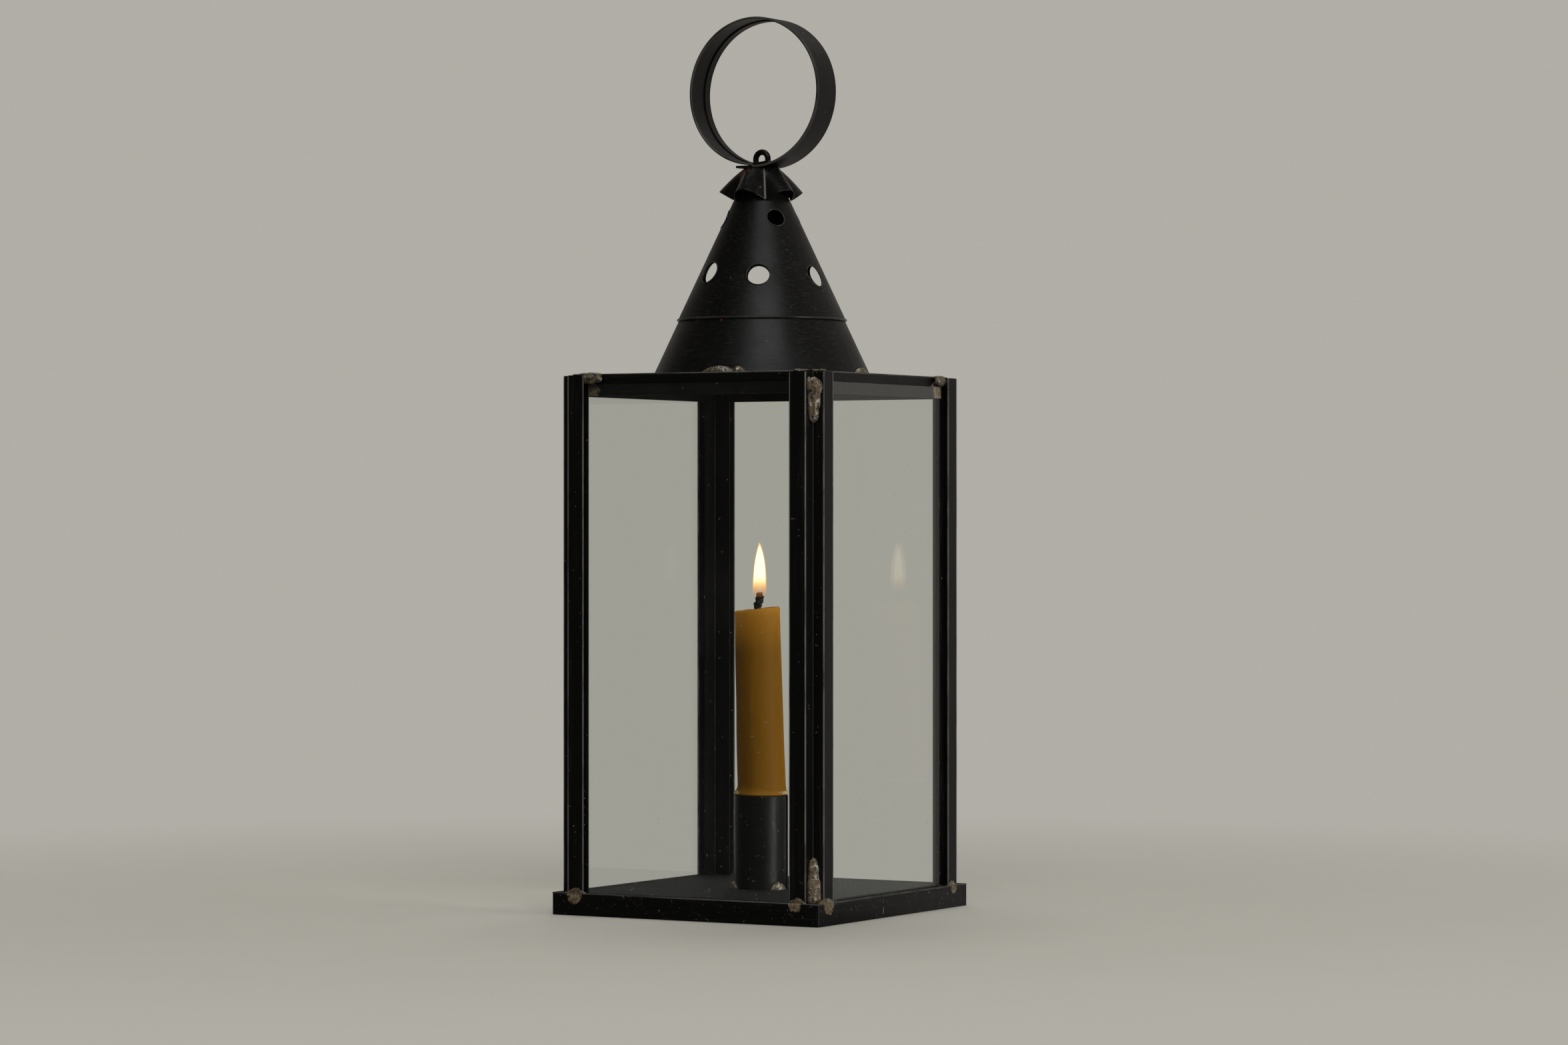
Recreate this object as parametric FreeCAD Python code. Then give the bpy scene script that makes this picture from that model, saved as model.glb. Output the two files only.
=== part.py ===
import FreeCAD, Part
import math
import os

# Candle lantern of black painted tin: base tray, eight glass channels, four panes, cone roof, ring handle.
# The front is towards -Y, the right side towards +X. The origin is under the middle of the base.
# Lengths are in millimetres, angles in degrees.

# Sides in the order of quarter turns about the upright axis
SIDES = ("front", "right", "rear", "left")

# Tinned sheet
SHEET = 0.6                    # thickness
FOLD = 0.5                     # inside radius of a folded edge

# Base tray, floor upwards
BASE_SIDE = 152.4
BASE_HEIGHT = 10.9
BASE_HEM = 4.0                 # height of the hem turned up inside the lower edge
BASE_OVERHANG = 1.6            # base beyond the outer face of the channels

# Glass channels
CHANNEL_LENGTH = 256.6
CHANNEL_DEPTH = 6.5            # outside width of the web
OUTER_FLANGE = 9.2
INNER_LEG = 9.2

# Glass panes
GLASS = 3.0
PANE_DROP = 4.6                # top edge of the glass below the tops of the channels
PANE_EDGE_GAP = 0.5            # between the edge of the glass and the web
PANE_FACE_GAP = 0.3            # between the glass and the inner leg

# Top plate
RIM_DROP = 10.3                # rim below the plate
RIM_END_GAP = 0.1              # between the end of a rim and an inner leg

# Roof
ROOF_SETBACK = 14.1            # foot of the roof inside the edge of the plate
ROOF_LEDGE = 12.0              # plate inside the foot of the roof, round the draught hole
ROOF_HEIGHT = 103.7
BAND_HEIGHT = 27.7
BAND_LAP = 4.0                 # band hidden under the cone
SEAM_BEAD = 0.55               # radius of the rolled lower edge of the cone

# Vent holes in the cone, punched by eye: each lower one has a direction and a share of the rise
LOWER_VENT_BORE = 11.8
LOWER_VENT_RISE = 23.2         # above the seam
LOWER_VENTS = ((-116.2, 1.01), (-62.9, 0.94), (-4.4, 0.93), (58.4, 1.0), (123.3, 1.04), (175.8, 1.08))
UPPER_VENT_BORE = 9.4
UPPER_VENT_RISE = 50.9
UPPER_VENT_ANGLES = (-145.9, -37.7, 52.3, 142.3)

# Fluted cap
FLUTE_COUNT = 5
FLUTE_ANGLE = -17.4            # direction of the first ridge
CAP_LIP = 1.6                  # flat top of the cap beyond the tip of the cone
RIDGE_REACH = 13.8             # ridge beyond the flat top
RIDGE_FALL = 11.4              # tip of a ridge below the top
VALLEY_FALL = 16.5             # end of a valley below the top
VALLEY_GAP = 0.13              # between the end of a valley and the cone
CAP_POINTS = 60                # points round one edge curve of the cap

# Ring handle
RING_SIZE = 75.6               # outside diameter
RING_WIDTH = 17.5
FRONT_HEM = 2.4
REAR_HEM = 4.7
LAP_GAP = 0.05                 # between the lapped ends of the strap
LAP_ANGLE = 14.0               # inner end of the strap past the bottom of the ring
TAIL = 10.0                    # outer end of the strap past the bottom of the ring
RING_ANGLE = -0.5

# Handle staple
STAPLE_WIRE = 2.9
STAPLE_SPAN = 7.0              # between the middles of the legs
STAPLE_EYE = 7.2               # eye above the strap
STAPLE_ELBOW = 2.4             # bend radius at the middle of the wire
STAPLE_CLINCH = 3.4            # turned-over end under the cap, from the leg's middle
STAPLE_GAP = 0.05              # round each leg in its hole
STAPLE_ROOM = 1.25             # between a leg and the inside of the cone

# Candle socket
SOCKET_SIZE = 26.2             # outside diameter
SOCKET_HEIGHT = 46.6
SEAM_LAP = 4.0                 # width of the lapped edge
SEAM_ANGLE = 20.0

# Candle and wick
CANDLE_RISE = 93.4             # above the mouth of the socket
CANDLE_FOOT_SIZE = 24.0        # diameter just above the socket
CANDLE_TOP_SIZE = 22.8
CANDLE_LEAN_ANGLE = 1.4
LEAN_DIRECTION_ANGLE = 210.0   # direction in which the candle leans
LEAN_PIVOT = 20.0              # point about which it leans, above the mouth of the socket
CANDLE_GAP = 0.3               # between the wax and the socket
COLLAR_HEIGHT = 3.4
COLLAR_EDGE = 1.1              # upright outer edge of the collar
COLLAR_LIP = 0.5               # melted wax beyond the outside of the socket
WICK_SIZE = 2.2
WICK_RISE = 8.4
WICK_START = 3.0               # foot of the wick above the foot of the candle

# Solder
CORNER_BEAD = 0.8              # radius of the run between the folds of two channels
NOTCH_MARGIN = 0.4             # solder short of the rounded folds
BASE_SOLDER_HEIGHT = 21.0
TOP_SOLDER_HEIGHT = 19.0
SOLDER_TAPER_RATIO = 0.2       # thin end of a notch filling against its thick end
SOLDER_BELLY_RATIO = 0.8       # half-way width of a notch filling against its thick end
STOP_LENGTH = 12.0
STOP_BEHIND = 3.0              # part of a pane stop behind the outer flange
STOP_GAP = 0.3                 # between a pane stop and the glass
STOP_ROUND = 1.5
ROOF_TACK_LENGTH = 16.0        # along the foot of the roof
ROOF_TACK_REACH = 3.0
ROOF_TACK_HEIGHT = 4.2
ROOF_TACK_COUNT = 4
ROOF_TACK_ANGLE = -83.0
SOCKET_TACK_LENGTH = 9.0       # round the foot of the socket
SOCKET_TACK_REACH = 2.4
SOCKET_TACK_HEIGHT = 5.0
SOCKET_TACK_COUNT = 3
SOCKET_TACK_ANGLE = -20.0

# Levels and distances that follow from these sizes
base_half = BASE_SIDE / 2
face = base_half - BASE_OVERHANG
valley = face - CHANNEL_DEPTH
post_top = BASE_HEIGHT + CHANNEL_LENGTH
pane_top = post_top - PANE_DROP
plate_half = valley + SHEET
plate_top = post_top + SHEET
fold_outside = FOLD + SHEET
roof_foot = plate_half - ROOF_SETBACK
roof_tip_z = plate_top + ROOF_HEIGHT
roof_tip = STAPLE_SPAN / 2 + STAPLE_WIRE / 2 + STAPLE_ROOM
roof_taper = (roof_foot - roof_tip) / ROOF_HEIGHT
roof_angle = math.atan(roof_taper)
roof_wall = SHEET / math.cos(roof_angle)
seam_z = plate_top + BAND_HEIGHT
cap_top = roof_tip_z + SHEET
cap_flat = roof_tip + roof_wall + CAP_LIP
cap_wall = SHEET / math.sin(math.atan2(RIDGE_FALL, RIDGE_REACH))
strap = 2 * SHEET + LAP_GAP
socket_top = BASE_HEIGHT + SOCKET_HEIGHT
socket_bore = SOCKET_SIZE / 2 - SHEET

X = FreeCAD.Vector(1, 0, 0)
Y = FreeCAD.Vector(0, 1, 0)
Z = FreeCAD.Vector(0, 0, 1)
ORIGIN = FreeCAD.Vector(0, 0, 0)


def vec(x, y, z=0.0):
    return FreeCAD.Vector(x, y, z)


def box(x0, x1, y0, y1, z0, z1):
    return Part.makeBox(x1 - x0, y1 - y0, z1 - z0, vec(x0, y0, z0))


def cylinder(radius, z0, z1, x=0.0, y=0.0):
    return Part.makeCylinder(radius, z1 - z0, vec(x, y, z0))


def turned(shape, degrees):
    """A copy turned about the lantern's upright axis."""
    copy = shape.copy()
    copy.rotate(ORIGIN, Z, degrees)
    return copy


def round_about(shape, count, first=0.0):
    """Copies of a shape spread evenly round the upright axis."""
    return [turned(shape, first + 360.0 * i / count) for i in range(count)]


def joined(shapes):
    """One solid from overlapping or touching shapes."""
    whole = shapes[0].fuse(shapes[1:])
    return whole.removeSplitter()


def rounded_face(corners):
    """Flat face with a rounded corner at each (x, y, radius)."""
    edges = []
    ends = []
    count = len(corners)
    for i, (x, y, radius) in enumerate(corners):
        here = vec(x, y)
        before = vec(*corners[i - 1][:2]) - here
        after = vec(*corners[(i + 1) % count][:2]) - here
        before.normalize()
        after.normalize()
        half = before.getAngle(after) / 2
        reach = radius / math.tan(half)
        start = here + before * reach
        end = here + after * reach
        middle = (before + after).normalize()
        ends.append((start, end))
        if radius > 0:
            crown = here + middle * (radius / math.sin(half) - radius)
            edges.append(Part.Arc(start, crown, end).toShape())
    for i in range(count):
        edges.append(Part.LineSegment(ends[i - 1][1], ends[i][0]).toShape())
    return Part.Face(Part.Wire(Part.__sortEdges__(edges)))


def spun(points, degrees=360.0, start=0.0):
    """Solid turned about the upright axis from (radius, height) points."""
    outline = [vec(r, 0, z) for r, z in points]
    shape = Part.Face(Part.makePolygon(outline + outline[:1])).revolve(ORIGIN, Z, degrees)
    return turned(shape, start)


def base_tray():
    """Folded tray with its floor on top and a hem inside its lower edge."""
    inside = base_half - SHEET
    outer = box(-base_half, base_half, -base_half, base_half, 0, BASE_HEIGHT)
    outer = outer.makeFillet(fold_outside, [e for e in outer.Edges if not low_edge(e)])
    hollow = box(-inside, inside, -inside, inside, -BASE_HEIGHT, BASE_HEIGHT - SHEET)
    hollow = hollow.makeFillet(FOLD, [e for e in hollow.Edges if not low_edge(e)])
    hem_inside = inside - SHEET
    hem = box(-inside, inside, -inside, inside, 0, BASE_HEM)
    hem = hem.makeFillet(FOLD, [e for e in hem.Edges if upright(e)])
    hem = hem.cut(box(-hem_inside, hem_inside, -hem_inside, hem_inside, -SHEET, BASE_HEM + SHEET))
    return joined([outer.cut(hollow), hem])


def low_edge(edge):
    """True for an edge that lies in the bottom plane of its box."""
    return edge.BoundBox.ZMax <= 0


def upright(edge):
    return edge.BoundBox.ZLength > max(edge.BoundBox.XLength, edge.BoundBox.YLength)


def channel(end):
    """Channel of the front pane, at its right (end = 1) or left (end = -1)."""
    section = [
        (OUTER_FLANGE, 0, 0),
        (OUTER_FLANGE, SHEET, 0),
        (SHEET, SHEET, FOLD),
        (SHEET, CHANNEL_DEPTH - SHEET, FOLD),
        (INNER_LEG, CHANNEL_DEPTH - SHEET, 0),
        (INNER_LEG, CHANNEL_DEPTH, 0),
        (0, CHANNEL_DEPTH, fold_outside),
        (0, 0, fold_outside),
    ]
    corners = [(end * (valley - along), depth - face, radius) for along, depth, radius in section]
    shape = rounded_face(corners).extrude(Z * CHANNEL_LENGTH)
    shape.translate(Z * BASE_HEIGHT)
    return shape


def front_pane():
    half = valley - SHEET - PANE_EDGE_GAP
    back = CHANNEL_DEPTH - SHEET - PANE_FACE_GAP - face
    return box(-half, half, back - GLASS, back, BASE_HEIGHT, pane_top)


def top_plate():
    """Plate on the inner legs, with a rim folded down between them on each side."""
    rim_half = valley - INNER_LEG - RIM_END_GAP
    inner = plate_half - fold_outside - SHEET
    section = [
        (-plate_half, post_top - RIM_DROP, 0),
        (SHEET - plate_half, post_top - RIM_DROP, 0),
        (SHEET - plate_half, post_top, FOLD),
        (-inner, post_top, 0),
        (-inner, plate_top, 0),
        (-plate_half, plate_top, fold_outside),
    ]
    rim = rounded_face(section).extrude(Z * 2 * rim_half)
    rim.rotate(ORIGIN, vec(1, 1, 1), 120)
    rim.translate(X * -rim_half)
    side = [box(-inner, inner, -inner, inner, post_top, plate_top)]
    side += round_about(rim, 4)
    side += round_about(plate_corner(rim_half), 4)
    draught = roof_foot - roof_wall - ROOF_LEDGE
    return joined(side).cut(cylinder(draught, post_top - SHEET, plate_top + SHEET))


def plate_corner(rim_half):
    """Flat corner of the top plate, over two inner legs."""
    return box(rim_half, plate_half, -plate_half, -rim_half, post_top, plate_top)


def roof_radius(z):
    """Radius of the surface on which the cone laps over the band."""
    return roof_foot - (z - plate_top) * roof_taper


def roof_band():
    top = seam_z + BAND_LAP
    foot_in = roof_foot - roof_wall
    top_out = roof_radius(top)
    return spun([(foot_in, plate_top), (roof_foot, plate_top), (top_out, top), (top_out - roof_wall, top)])


def vent(z, bore):
    """Cutter for a vent hole at the right, square to the cone."""
    outward = vec(math.cos(roof_angle), 0, math.sin(roof_angle))
    middle = vec(roof_radius(z), 0, z)
    return Part.makeCylinder(bore / 2, bore, middle - outward * (bore / 2), outward)


def roof_cone():
    low = roof_radius(seam_z)
    wall = spun([
        (low, seam_z),
        (low + roof_wall, seam_z),
        (roof_tip + roof_wall, roof_tip_z),
        (roof_tip, roof_tip_z),
    ])
    out = SEAM_BEAD * math.cos(roof_angle)
    bead = Part.makeTorus(low + out, SEAM_BEAD, vec(0, 0, seam_z + SEAM_BEAD * math.sin(roof_angle)))
    vents = []
    for angle, share in LOWER_VENTS:
        vents.append(turned(vent(seam_z + LOWER_VENT_RISE * share, LOWER_VENT_BORE), angle))
    for angle in UPPER_VENT_ANGLES:
        vents.append(turned(vent(seam_z + UPPER_VENT_RISE, UPPER_VENT_BORE), angle))
    return joined([wall, bead]).cut(vents)


def cap_edge(share, inward=0.0, down=0.0):
    """Closed curve round the cap, at a share of the way from its flat top to its lower edge."""
    valley_end = roof_radius(cap_top - VALLEY_FALL) + roof_wall + VALLEY_GAP + cap_wall
    valley_reach = valley_end - cap_flat
    points = []
    for i in range(CAP_POINTS):
        angle = 2 * math.pi * i / CAP_POINTS
        swing = (1 + math.cos(FLUTE_COUNT * angle)) / 2
        reach = valley_reach + (RIDGE_REACH - valley_reach) * swing
        fall = VALLEY_FALL + (RIDGE_FALL - VALLEY_FALL) * swing
        radius = cap_flat + reach * share - inward
        points.append(vec(radius * math.cos(angle), radius * math.sin(angle), cap_top - fall * share - down))
    curve = Part.BSplineCurve()
    curve.interpolate(points, PeriodicFlag=True)
    return curve.toShape()


def vent_cap():
    """Cap crimped into flutes, whose valleys lie on the cone and hang lower than its ridges."""
    edges = [cap_edge(0), cap_edge(1), cap_edge(1, cap_wall), cap_edge(0, cap_wall, SHEET)]
    faces = [Part.makeRuledSurface(edges[i], edges[i + 1]) for i in range(len(edges) - 1)]
    faces += [Part.Face(Part.Wire(edge)) for edge in (edges[0], edges[-1])]
    cap = Part.makeSolid(Part.makeShell(faces))
    return turned(cap, FLUTE_ANGLE).cut(staple_holes())


def strap_layer(near, far, width, offset):
    """Part of the strap between two depths from its outer face, bent to a ring with lapped ends."""
    ring = RING_SIZE / 2
    middle = vec(0, ring)
    left = ring - strap / 2
    left_middle = vec(0, ring + strap / 2)

    def on(centre, radius, degrees):
        a = math.radians(degrees)
        return centre + vec(radius * math.cos(a), radius * math.sin(a))

    def arc(centre, radius, start, end):
        points = [on(centre, radius, a) for a in (start, (start + end) / 2, end)]
        return Part.Arc(*points).toShape()

    lap_end = -90 + LAP_ANGLE
    lap_near = on(middle, ring - strap - near, lap_end)
    lap_far = on(middle, ring - strap - far, lap_end)
    edges = [
        Part.LineSegment(vec(-TAIL, near), vec(0, near)).toShape(),
        arc(middle, ring - near, -90, 90),
        arc(left_middle, left - near, 90, 270),
        arc(middle, ring - strap - near, -90, lap_end),
        Part.LineSegment(lap_near, lap_far).toShape(),
        arc(middle, ring - strap - far, lap_end, -90),
        arc(left_middle, left - far, 270, 90),
        arc(middle, ring - far, 90, -90),
        Part.LineSegment(vec(0, far), vec(-TAIL, far)).toShape(),
        Part.LineSegment(vec(-TAIL, far), vec(-TAIL, near)).toShape(),
    ]
    shape = Part.Face(Part.Wire(edges)).extrude(Z * width)
    shape.rotate(ORIGIN, X, 90)
    shape.translate(vec(0, offset, cap_top))
    return shape


def ring_handle():
    """Hemmed strap bent to a ring, standing on the cap."""
    half = RING_WIDTH / 2
    web = strap_layer(0, SHEET, RING_WIDTH, half)
    rear_hem = strap_layer(SHEET, 2 * SHEET, REAR_HEM, half)
    front_hem = strap_layer(SHEET, 2 * SHEET, FRONT_HEM, FRONT_HEM - half)
    return turned(joined([web, rear_hem, front_hem]), RING_ANGLE).cut(staple_holes())


def staple_holes():
    """Cutter for both legs of the staple, through the strap and the cap."""
    radius = STAPLE_WIRE / 2 + STAPLE_GAP
    top = cap_top + 2 * strap + STAPLE_WIRE
    legs = [cylinder(radius, cap_top - STAPLE_WIRE, top, side * STAPLE_SPAN / 2) for side in (-1, 1)]
    return turned(Part.makeCompound(legs), RING_ANGLE)


def handle_staple():
    """Bent wire: an eye above the strap and two ends turned over under the cap."""
    half = STAPLE_SPAN / 2
    under = cap_top - SHEET
    low = under - STAPLE_ELBOW
    bend = STAPLE_ELBOW * (1 - math.sqrt(0.5))
    eye = cap_top + 2 * strap + STAPLE_EYE - STAPLE_WIRE / 2 - half
    end = vec(-half, -STAPLE_CLINCH, low)
    path = [
        Part.LineSegment(end, vec(-half, -STAPLE_ELBOW, low)),
        Part.Arc(vec(-half, -STAPLE_ELBOW, low), vec(-half, -bend, low + bend), vec(-half, 0, under)),
        Part.LineSegment(vec(-half, 0, under), vec(-half, 0, eye)),
        Part.Arc(vec(-half, 0, eye), vec(0, 0, eye + half), vec(half, 0, eye)),
        Part.LineSegment(vec(half, 0, eye), vec(half, 0, under)),
        Part.Arc(vec(half, 0, under), vec(half, bend, low + bend), vec(half, STAPLE_ELBOW, low)),
        Part.LineSegment(vec(half, STAPLE_ELBOW, low), vec(half, STAPLE_CLINCH, low)),
    ]
    wire = Part.Wire([piece.toShape() for piece in path])
    section = Part.Wire(Part.makeCircle(STAPLE_WIRE / 2, end, Y))
    return turned(wire.makePipeShell([section], True, False), RING_ANGLE)


def candle_socket():
    """Rolled tube with one edge lapped over the other."""
    radius = SOCKET_SIZE / 2
    tube = cylinder(radius, BASE_HEIGHT, socket_top).cut(cylinder(socket_bore, 0, post_top))
    degrees = math.degrees(SEAM_LAP / radius)
    lap = spun([
        (radius - SHEET / 2, BASE_HEIGHT),
        (radius + SHEET, BASE_HEIGHT),
        (radius + SHEET, socket_top),
        (radius - SHEET / 2, socket_top),
    ], degrees, SEAM_ANGLE)
    return joined([tube, lap])


def leaned(shape):
    """A copy tipped about a point on the upright axis."""
    copy = shape.copy()
    tilt = turned(Part.makeLine(ORIGIN, Y), LEAN_DIRECTION_ANGLE).Vertexes[1].Point
    copy.rotate(vec(0, 0, socket_top + LEAN_PIVOT), tilt, CANDLE_LEAN_ANGLE)
    return copy


def candle_foot():
    """Level of the candle's foot, which clears the floor when it is tipped."""
    return BASE_HEIGHT + CANDLE_GAP + socket_bore * math.sin(math.radians(CANDLE_LEAN_ANGLE))


def wick():
    shape = cylinder(WICK_SIZE / 2, candle_foot() + WICK_START, socket_top + CANDLE_RISE + WICK_RISE)
    return leaned(shape)


def candle():
    """Tapered wax stick with a narrower foot in the socket and a melted collar on its mouth."""
    play = (socket_top + LEAN_PIVOT - candle_foot()) * math.tan(math.radians(CANDLE_LEAN_ANGLE))
    foot = socket_bore - CANDLE_GAP - play
    mouth = socket_top + CANDLE_GAP + foot * math.sin(math.radians(CANDLE_LEAN_ANGLE))
    top = socket_top + CANDLE_RISE
    stick = leaned(spun([
        (0, candle_foot()),
        (foot, candle_foot()),
        (foot, mouth),
        (CANDLE_FOOT_SIZE / 2, mouth),
        (CANDLE_TOP_SIZE / 2, top),
        (0, top),
    ]))
    seat = socket_top + CANDLE_GAP
    rim = SOCKET_SIZE / 2 + COLLAR_LIP
    collar = spun([
        (0, seat),
        (rim, seat),
        (rim, seat + COLLAR_EDGE),
        (CANDLE_FOOT_SIZE / 2, seat + COLLAR_HEIGHT),
        (0, seat + COLLAR_HEIGHT),
    ])
    return joined([stick, collar]).cut(wick())


def corner_seam():
    """Run of solder between the folds of the two channels at the front right corner."""
    run = cylinder(CORNER_BEAD, BASE_HEIGHT, post_top, valley, -valley)
    return run.cut([channel(1), turned(channel(-1), 90)])


def notch_filling(foot, height):
    """Solder in the front right corner notch, thick at one level and thin towards another."""
    thick = CHANNEL_DEPTH - fold_outside - NOTCH_MARGIN
    thin = thick * SOLDER_TAPER_RATIO
    edges = [
        Part.LineSegment(vec(CORNER_BEAD, 0, 0), vec(thick, 0, 0)),
        Part.Arc(vec(thick, 0, 0), vec(thick * SOLDER_BELLY_RATIO, 0, height / 2), vec(thin, 0, height)),
        Part.LineSegment(vec(thin, 0, height), vec(CORNER_BEAD, 0, height)),
        Part.LineSegment(vec(CORNER_BEAD, 0, height), vec(CORNER_BEAD, 0, 0)),
    ]
    shape = Part.Face(Part.Wire([edge.toShape() for edge in edges])).revolve(ORIGIN, Z, 90)
    shape = turned(shape, -90)
    shape.translate(vec(valley, -valley, foot))
    return shape


def pane_stop():
    """Lump of solder across the mouth of the front pane's left channel, above the glass."""
    start = valley - OUTER_FLANGE + STOP_BEHIND
    outside = SHEET - face
    lump = box(-start, STOP_LENGTH - start, outside, -plate_half, pane_top + STOP_GAP, post_top)
    free_end = STOP_LENGTH - start
    outer_edges = [e for e in lump.Edges if upright(e) and e.BoundBox.XMin > free_end - STOP_ROUND]
    return lump.makeFillet(STOP_ROUND, [e for e in outer_edges if e.BoundBox.YMax < outside + STOP_ROUND])


def tack(length, reach, height, foot, shoulder, level):
    """Dab of solder at the foot of a round piece, which has the shoulder radius at the dab's top."""
    belly = vec((foot + reach + shoulder) / 2, 0, level + height * SOLDER_BELLY_RATIO)
    edges = [
        Part.LineSegment(vec(foot, 0, level), vec(foot + reach, 0, level)),
        Part.Arc(vec(foot + reach, 0, level), belly, vec(shoulder, 0, level + height)),
        Part.LineSegment(vec(shoulder, 0, level + height), vec(foot, 0, level)),
    ]
    degrees = math.degrees(length / foot)
    shape = Part.Face(Part.Wire([edge.toShape() for edge in edges])).revolve(ORIGIN, Z, degrees)
    return turned(shape, -degrees / 2)


def roof_solder():
    shoulder = roof_radius(plate_top + ROOF_TACK_HEIGHT)
    dab = tack(ROOF_TACK_LENGTH, ROOF_TACK_REACH, ROOF_TACK_HEIGHT, roof_foot, shoulder, plate_top)
    return round_about(dab, ROOF_TACK_COUNT, ROOF_TACK_ANGLE)


def socket_solder():
    radius = SOCKET_SIZE / 2
    dab = tack(SOCKET_TACK_LENGTH, SOCKET_TACK_REACH, SOCKET_TACK_HEIGHT, radius, radius, BASE_HEIGHT)
    socket = candle_socket()
    return [piece.cut(socket) for piece in round_about(dab, SOCKET_TACK_COUNT, SOCKET_TACK_ANGLE)]


def channels():
    """Name and shape of all eight channels, two for each pane."""
    named = {}
    for i, side in enumerate(SIDES):
        before = SIDES[i - 1]
        after = SIDES[(i + 1) % len(SIDES)]
        named[f"{side}_{before}_channel"] = turned(channel(-1), 90 * i)
        named[f"{side}_{after}_channel"] = turned(channel(1), 90 * i)
    return named


def panes():
    return {f"{side}_pane": turned(front_pane(), 90 * i) for i, side in enumerate(SIDES)}


def pane_stops():
    """Stops of the front, right and left panes: the front one's at its left, the others' at the rear."""
    return [pane_stop(), turned(pane_stop().mirror(ORIGIN, X), 90), turned(pane_stop(), -90)]


nodes = {
    "base_tray": base_tray(),
    **channels(),
    **panes(),
    "top_plate": top_plate(),
    "roof_band": roof_band(),
    "roof_cone": roof_cone(),
    "vent_cap": vent_cap(),
    "ring_handle": ring_handle(),
    "handle_staple": handle_staple(),
    "candle_socket": candle_socket(),
    "candle": candle(),
    "wick": wick(),
    "corner_seams": Part.makeCompound(round_about(corner_seam(), 4)),
    "base_corner_solder": Part.makeCompound(round_about(notch_filling(BASE_HEIGHT, BASE_SOLDER_HEIGHT), 4)),
    "top_corner_solder": Part.makeCompound(round_about(notch_filling(post_top, -TOP_SOLDER_HEIGHT), 4)),
    "pane_stop_solder": Part.makeCompound(pane_stops()),
    "roof_solder": Part.makeCompound(roof_solder()),
    "socket_solder": Part.makeCompound(socket_solder()),
}

os.makedirs("parts", exist_ok=True)
for name, shape in nodes.items():
    shape.exportStep(f"parts/{name}.step")
    state = "valid" if shape.isValid() else "NOT VALID"
    bounds = shape.optimalBoundingBox(False, False)
    print(f"{name}: {len(shape.Solids)} solids, {state}, {shape.Volume:.1f} mm3, {bounds}")
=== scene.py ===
# %% [markdown]
# # A candle lantern of black tin
# A tin lantern keeps the draught off a candle. This one has a folded base, panes of glass that stand in
# folded channels, a pierced cone for a roof, a crimped cap and a strap bent to a ring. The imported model
# already holds the sheet metal at its real size, so this lesson adds what a drawing in sheet metal
# lacks: paint, glass, wax, solder and a flame. Everything is in metres, in the frame of the packed
# model, with the front towards -Y.

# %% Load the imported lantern
import random
from math import atan, cos, pi, radians, sin, tan, tau

import bmesh
import bpy
from mathutils import Matrix, Vector, noise


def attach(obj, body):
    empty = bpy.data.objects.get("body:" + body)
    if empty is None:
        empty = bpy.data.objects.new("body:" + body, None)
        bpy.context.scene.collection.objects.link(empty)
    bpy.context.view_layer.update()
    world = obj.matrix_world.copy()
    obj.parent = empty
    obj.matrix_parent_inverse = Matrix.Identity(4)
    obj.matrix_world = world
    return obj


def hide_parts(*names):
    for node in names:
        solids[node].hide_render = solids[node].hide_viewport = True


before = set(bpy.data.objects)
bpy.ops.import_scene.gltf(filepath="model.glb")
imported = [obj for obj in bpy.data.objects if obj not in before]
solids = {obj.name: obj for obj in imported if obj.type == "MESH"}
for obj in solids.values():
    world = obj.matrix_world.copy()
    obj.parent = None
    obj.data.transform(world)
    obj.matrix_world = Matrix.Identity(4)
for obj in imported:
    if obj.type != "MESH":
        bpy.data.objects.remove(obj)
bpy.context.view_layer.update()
scene = bpy.context.scene
MM = 0.001

# %% [markdown]
# ## Camera
# The lantern was photographed from its front right corner, level with the upper part of the candle,
# through a long lens. A camera can be placed by eye, but fitting the lens and the place to the corners
# of the base and the posts gives the same picture with no guessing, so the fitted numbers stand here.

# %% Camera
PHOTO_WIDTH = 2352  # pixels
FOCAL_LENGTH = 7000  # pixels
CAMERA_TURN = radians(30.15)
CAMERA_PLACE = (1.1874, -2.0222, 0.1945)

camera_data = bpy.data.cameras.new("camera")
camera_data.sensor_width = 36.0
camera_data.lens = FOCAL_LENGTH / PHOTO_WIDTH * camera_data.sensor_width
camera = bpy.data.objects.new("camera", camera_data)
camera.location = CAMERA_PLACE
camera.rotation_euler = (pi / 2, 0, CAMERA_TURN)
scene.collection.objects.link(camera)
scene.camera = camera
scene.view_settings.view_transform = "Standard"
print("lens", round(camera_data.lens, 1), "mm")

# %% [markdown]
# ## A few words for node trees
# Materials and Geometry Nodes are both trees of nodes. Adding a node, setting it and linking it takes
# four or five lines each time, so one short word does it here. A value that is a socket is linked, any
# other is set.

# %% Words for node trees
def give(tree, socket, value):
    """Link an output to an input, or set any other value; a colour gets its alpha here."""
    if isinstance(value, bpy.types.NodeSocket):
        tree.links.new(value, socket)
    elif socket.type == "RGBA" and len(value) == 3:
        socket.default_value = (*value, 1.0)
    else:
        socket.default_value = value


def put(tree, kind, inputs=None, **settings):
    """Add a node, set its properties, and link or set its inputs."""
    node = tree.nodes.new(kind)
    for key, value in settings.items():
        setattr(node, key, value)
    for key, value in (inputs or {}).items():
        give(tree, node.inputs[key], value)
    return node


def calc(tree, operation, *values):
    """Result of a Math node."""
    return put(tree, "ShaderNodeMath", dict(enumerate(values)), operation=operation).outputs[0]


def times(tree, first, second):
    """Product of two numbers."""
    return calc(tree, "MULTIPLY", first, second)


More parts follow.
